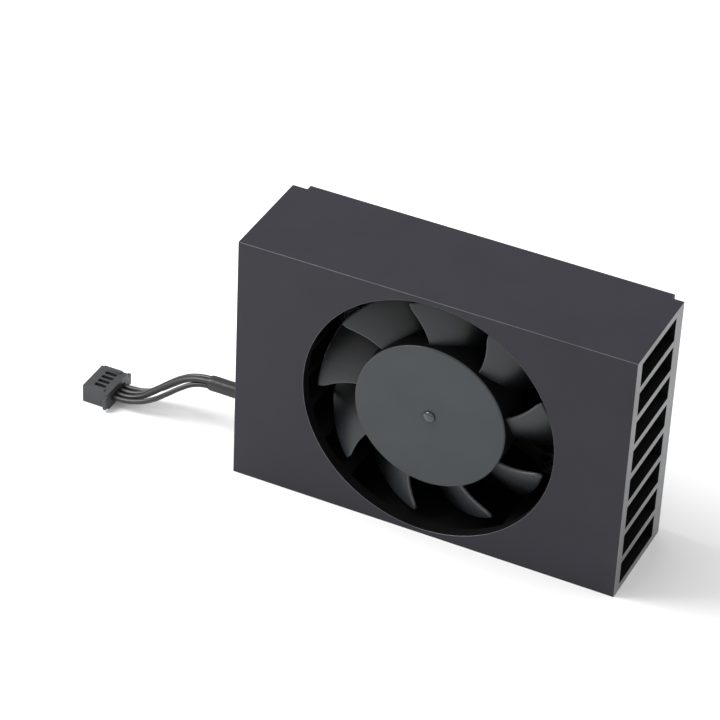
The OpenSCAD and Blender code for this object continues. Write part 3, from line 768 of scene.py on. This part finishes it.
def make_blade(index, finishes_used):
    """One blade: a sheet bent along its chord, thickened, with rounded edges."""
    chords, spans = 26, 16
    root_r = HUB_R - 0.45 * MM
    bpy.ops.mesh.primitive_grid_add(x_subdivisions=chords, y_subdivisions=spans, size=1)
    sheet = bpy.context.object
    rise = BLADE_REAR - BLADE_FRONT - BLADE_T
    turn = FIRST_BLADE + math.tau * index / BLADES
    for vertex in sheet.data.vertices:
        s, share = vertex.co.x + 0.5, vertex.co.y + 0.5
        radius = root_r + (TIP_R - 0.05 * MM - root_r) * share
        out = max(0.0, (radius - HUB_R) / (TIP_R - HUB_R))
        corner = 0.8 * max(0.0, out - 0.75) ** 2
        s = corner + s * (1 - 2 * corner)
        angle = turn - BLADE_SWEEP * out ** 1.25 + BLADE_WRAP * s
        depth = BLADE_FRONT + BLADE_T / 2 + rise * (0.45 * s + 0.55 * s * s)
        vertex.co = (radius * math.cos(angle), radius * math.sin(angle), depth)
    modified(sheet, "SOLIDIFY", thickness=BLADE_T * 0.82, offset=0, use_even_offset=True)
    softened(sheet, 0.26 * MM, 3, 50)
    for material in finishes_used:
        sheet.data.materials.append(material)
    for face in sheet.data.polygons:
        radius = math.hypot(face.center.x, face.center.y)
        out = max(0.0, (radius - HUB_R) / (TIP_R - HUB_R))
        lead = (math.atan2(face.center.y, face.center.x) - turn + BLADE_SWEEP * out ** 1.25) % math.tau
        # faces along each blade's front edge take the lip finish, a painted highlight
        on_painted_highlight_lip = min(lead, math.tau - lead) * radius < 0.24 * MM
        face.material_index = IMPELLER_FINISHES.index("lip" if on_painted_highlight_lip else "blade")
    sheet.data.transform(ON_FAN_AXIS)
    return mended(sheet)


def make_impeller(materials):
    """Hub and blades fused to one moulding."""
    finishes_used = [materials[name] for name in IMPELLER_FINISHES]
    hub = make_hub()
    for material in finishes_used:
        hub.data.materials.append(material)
    for face in hub.data.polygons:
        from_axis = math.hypot(face.center.x, face.center.z - FAN_Z)
        # painted shade: the hub's side wall and back take the near-black, its front face keeps the hub colour
        if face.normal.y > -0.3:
            face.material_index = IMPELLER_FINISHES.index("channel")
        elif from_axis < PIP_R + 0.05 * MM:
            face.material_index = IMPELLER_FINISHES.index("pip")
    for index in range(BLADES):
        carved(hub, [make_blade(index, finishes_used)], "UNION")
    return handed_in(hub, "impeller_moulding", "rotor", [], ["impeller"])


def ring_outline(outer, inner, front, back):
    return [(outer, front), (outer, back), (inner, back), (inner, front)]


def depths(node):
    low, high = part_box(node)
    return low.y - FRONT, high.y - FRONT


def make_turned_parts(materials):
    """Parts turned or drawn round the fan's axis, each from its outline of radius and depth."""
    tube_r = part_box("bearing_tube")[1].x
    yoke_front, yoke_back = depths("rotor_yoke")
    magnet_front, magnet_back = depths("magnet_ring")
    magnet_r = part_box("magnet_ring")[1].x
    shaft_front, shaft_back = depths("shaft")
    clip_front, clip_back = depths("retaining_clip")
    tube_front, tube_back = depths("bearing_tube")
    aft_front, aft_back = depths("rear_outer_race")
    fore_front, fore_back = depths("front_outer_race")
    cap_front, cap_back = depths("bearing_cap")
    bush_front, bush_back = depths("shaft_bush")
    bush_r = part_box("shaft_bush")[1].x
    cap_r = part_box("bearing_cap")[1].x
    groove_r = SHAFT_R - 0.2 * MM
    lip_r = BEARING_R - 0.4 * MM
    sheet_t = 0.5 * MM

    parts = [
        ("yoke_cup", "rotor_yoke", "rotor", "yoke_steel", "yoke", 0.12 * MM,
         [(YOKE_R, yoke_front), (YOKE_R, yoke_back), (magnet_r, yoke_back), (magnet_r, yoke_front + sheet_t),
          (bush_r, yoke_front + sheet_t), (bush_r, yoke_front)]),
        ("magnet_band", "magnet_ring", "rotor", "magnet", "magnet", 0.15 * MM,
         ring_outline(magnet_r, magnet_r - 1.3 * MM, magnet_front, magnet_back)),
        ("turned_shaft", "shaft", "rotor", "steel", "steel", 0.06 * MM,
         [(0, shaft_front), (SHAFT_R, shaft_front), (SHAFT_R, clip_front), (groove_r, clip_front),
          (groove_r, clip_back), (SHAFT_R, clip_back), (SHAFT_R, shaft_back), (0, shaft_back)]),
        ("hub_bush", "shaft_bush", "rotor", "brass", "brass", 0.06 * MM,
         ring_outline(bush_r, SHAFT_R, bush_front, bush_back)),
        ("bearing_sleeve", "bearing_tube", "cooler", "brass", "brass", 0.05 * MM,
         [(tube_r, tube_front), (tube_r, tube_back), (BEARING_R, tube_back), (BEARING_R, aft_front),
          (lip_r, aft_front), (lip_r, fore_back), (BEARING_R, fore_back), (BEARING_R, tube_front)]),
        ("rear_cap", "bearing_cap", "cooler", "frame_plastic", "frame_plastic", 0.1 * MM,
         [(cap_r, cap_front), (cap_r, cap_back), (0, cap_back), (0, cap_back - 0.2 * MM),
          (SHAFT_R + 0.5 * MM, cap_back - 0.2 * MM), (SHAFT_R + 0.5 * MM, cap_front)]),
    ]
    for end, front, back in (("front", fore_front, fore_back), ("rear", aft_front, aft_back)):
        parts.append((end + "_outer_ring", end + "_outer_race", "cooler", "steel", "steel", 0.08 * MM,
                      ring_outline(BEARING_R, TRACK_R + BALL_R + BALL_GAP, front, back)))
        parts.append((end + "_inner_ring", end + "_inner_race", "rotor", "steel", "steel", 0.08 * MM,
                      ring_outline(TRACK_R - BALL_R - BALL_GAP, SHAFT_R, front, back)))
    for name, node, body, slot, material, softening, outline in parts:
        piece = turned(outline[::-1], 96, softening)
        handed_in(piece, name, body, [materials[material]], [node])


def make_balls(materials):
    """Two sets of seven balls."""
    for end in ("front", "rear"):
        low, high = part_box(end + "_balls")
        depth = (low.y + high.y) / 2 - FRONT
        balls = []
        for i in range(BALLS):
            angle = math.tau * i / BALLS
            place = ON_FAN_AXIS @ Vector((TRACK_R * math.cos(angle), TRACK_R * math.sin(angle), depth))
            bpy.ops.mesh.primitive_ico_sphere_add(subdivisions=3, radius=BALL_R, location=place)
            balls.append(settled(bpy.context.object))
        handed_in(joined(balls), end + "_ball_ring", end + "_ball_set", [materials["steel"]],
                  [end + "_balls"])


def make_coils(materials):
    """Four coils, each a wound body whose turns stand up as ridges along the tooth."""
    low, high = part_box("coil_windings")
    poles, turns, squareness = 4, 12, 0.35
    rings = 2 * turns
    inner_r, outer_r, half_side = 5.2 * MM, high.x, 3 * MM
    half_depth = (high.y - low.y) / 2
    depth = (high.y + low.y) / 2 - FRONT
    outline = [(inner_r + (outer_r - inner_r) * k / rings, 0.0 if k % 2 else 0.09 * MM)
               for k in range(rings + 1)]
    coils = []
    for i in range(poles):
        bpy.ops.mesh.primitive_grid_add(x_subdivisions=rings, y_subdivisions=40, size=1)
        grid = bpy.context.object
        for vertex in grid.data.vertices:
            k = round((vertex.co.x + 0.5) * rings)
            radius, dip = outline[k]
            angle = math.tau * (vertex.co.y + 0.5)
            c, s = math.cos(angle), math.sin(angle)
            side = (half_side - dip) * math.copysign(abs(c) ** squareness, c)
            lift = (half_depth - dip) * math.copysign(abs(s) ** squareness, s)
            vertex.co = (radius, side, depth + lift)
        modified(grid, "WELD", merge_threshold=1e-6)
        modified(grid, "SOLIDIFY", thickness=0.65 * MM, offset=-1)
        mended(grid)
        grid.data.transform(ON_FAN_AXIS @ Matrix.Rotation(math.tau * i / poles, 4, "Z"))
        coils.append(grid)
    handed_in(mended(joined(coils)), "wound_coils", "cooler", [materials["copper"]],
              ["coil_windings"])


def make_solder(materials):
    """Rounded mounds of solder where the wires meet the board."""
    mounds = []
    for k in range(len(WIRES)):
        path = wire_path(k)
        away = (path[1] - path[0]).normalized()
        centre = path[0] - away * 0.45 * MM
        bpy.ops.mesh.primitive_uv_sphere_add(segments=20, ring_count=12, radius=0.5 * MM, location=centre)
        mound = bpy.context.object
        mound.scale = (1.25, 0.95, 0.95)
        mound.rotation_euler = (0, -math.atan2(away.z, away.x), 0)
        mounds.append(settled(mound))
    handed_in(joined(mounds), "solder_mounds", "cooler", [materials["tin"]], ["solder_joints"])


def make_small_parts(materials):
    """Parts whose frame shape is right: their edges are rounded and they get their finish."""
    rows = [
        ("bracket_moulding", "fan_bracket", "cooler", "frame_plastic", "frame_plastic", 0.12 * MM),
        ("bracket_fixings", "bracket_screws", "cooler", "black_oxide", "screw", 0.08 * MM),
        ("spring_wire", "preload_spring", "rotor", "steel", "steel", 0),
        ("shaft_clip", "retaining_clip", "rotor", "steel", "steel", 0.03 * MM),
        ("stator_stack", "stator_core", "cooler", "lamination", "lamination", 0.05 * MM),
        ("front_bobbin", "front_insulator", "cooler", "insulator", "insulator", 0.08 * MM),
        ("rear_bobbin", "rear_insulator", "cooler", "insulator", "insulator", 0.08 * MM),
        ("bobbin_pins", "winding_pins", "cooler", "tin", "tin", 0.04 * MM),
        ("driver_board", "motor_board", "cooler", "board", "board", 0.05 * MM),
        ("hall_sensor", "position_sensor", "cooler", "chip", "chip", 0.06 * MM),
        ("driver_chip", "drive_chip", "cooler", "chip", "chip", 0.06 * MM),
        ("chip_capacitors", "board_capacitors", "cooler", "ceramic", "ceramic", 0.05 * MM),
    ]
    for name, node, body, slot, material, width in rows:
        handed_in(refined(node, width), name, body, [materials[material]], [node])


# ---- Room ----

def make_room():
    """Pale floor, a white sky and two soft lights."""
    bpy.ops.mesh.primitive_plane_add(size=6)
    floor = bpy.context.object
    floor.name = "pale_floor"
    paper = bpy.data.materials.new("pale_paper")
    paper.use_nodes = True
    shader_of(paper).inputs["Base Color"].default_value = (0.93, 0.93, 0.93, 1)
    shader_of(paper).inputs["Roughness"].default_value = 0.9
    floor.data.materials.append(paper)
    world = bpy.data.worlds.new("studio")
    world.use_nodes = True
    world.node_tree.nodes["Background"].inputs["Color"].default_value = (1, 1, 1, 1)
    world.node_tree.nodes["Background"].inputs["Strength"].default_value = 0.82
    bpy.context.scene.world = world
    lights = [("key_light", (-0.27, -0.07, 0.30), 0.26, 1.6), ("fill_light", (0.35, 0.05, 0.75), 0.5, 0.6)]
    for name, place, size, watts in lights:
        bpy.ops.object.light_add(type="AREA", location=place)
        light = bpy.context.object
        light.name = name
        light.data.shape = "DISK"
        light.data.size = size
        light.data.energy = watts
        light.rotation_euler = (Vector((0, 0, FAN_Z)) - Vector(place)).to_track_quat("-Z", "Y").to_euler()
    bpy.context.scene.view_settings.view_transform = "Standard"


set_camera()
finishes = make_materials()
make_lead(finishes)
make_heatsink(finishes)
make_threads(finishes)
make_thermal_print(finishes)
make_impeller(finishes)
make_turned_parts(finishes)
make_balls(finishes)
make_coils(finishes)
make_solder(finishes)
make_small_parts(finishes)
make_room()
